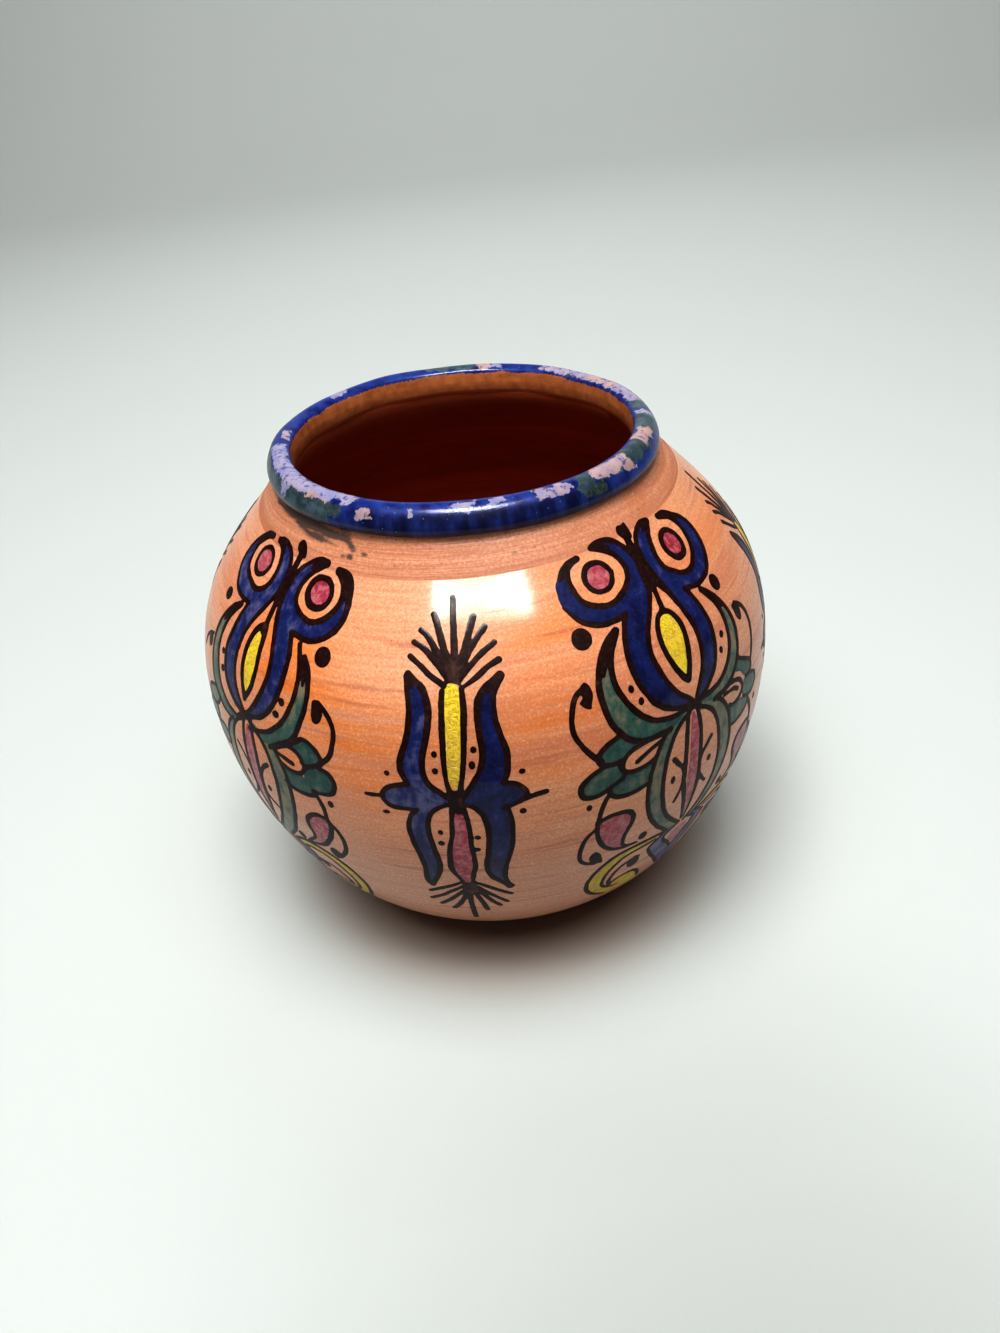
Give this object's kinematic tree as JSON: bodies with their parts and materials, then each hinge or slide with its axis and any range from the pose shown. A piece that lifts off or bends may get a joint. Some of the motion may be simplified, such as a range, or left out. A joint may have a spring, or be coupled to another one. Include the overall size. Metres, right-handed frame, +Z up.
{
  "type": "painted earthenware vase",
  "caption": "Round ball-shaped earthenware vase with a wide open mouth, a short neck, a thick rolled blue rim band and a low foot ring, hand-painted with folk flowers and leaves",
  "frame": {"origin": "on the table, at the middle of the foot ring's flat underside", "axes": "+Z up along the pot's turning axis; the pot is round, so +X and +Y are interchangeable in the shape; the side at -Y faces the camera of the source view"},
  "size_m": [0.14, 0.14, 0.1221],
  "materials": {
    "foot_clay": "unglazed fired red clay, rubbed pale where it stands",
    "base_clay": "unglazed fired red clay, matte",
    "wall_clay": "orange-pink clay wash brushed round the pot, painted folk flowers in dark brown, blue, green, yellow and magenta, clear satin varnish",
    "neck_clay": "brushed clay wash, dull, with smudges of the rim's paint",
    "rim_blue": "cobalt blue paint under clear varnish, worn pale along the lip"
  },
  "bodies": {
    "root": {"foot_ring": "foot_clay", "base_slab": "base_clay", "globe_wall": "wall_clay", "neck_collar": "neck_clay", "rim_band": "rim_blue"}
  },
  "joints": []
}
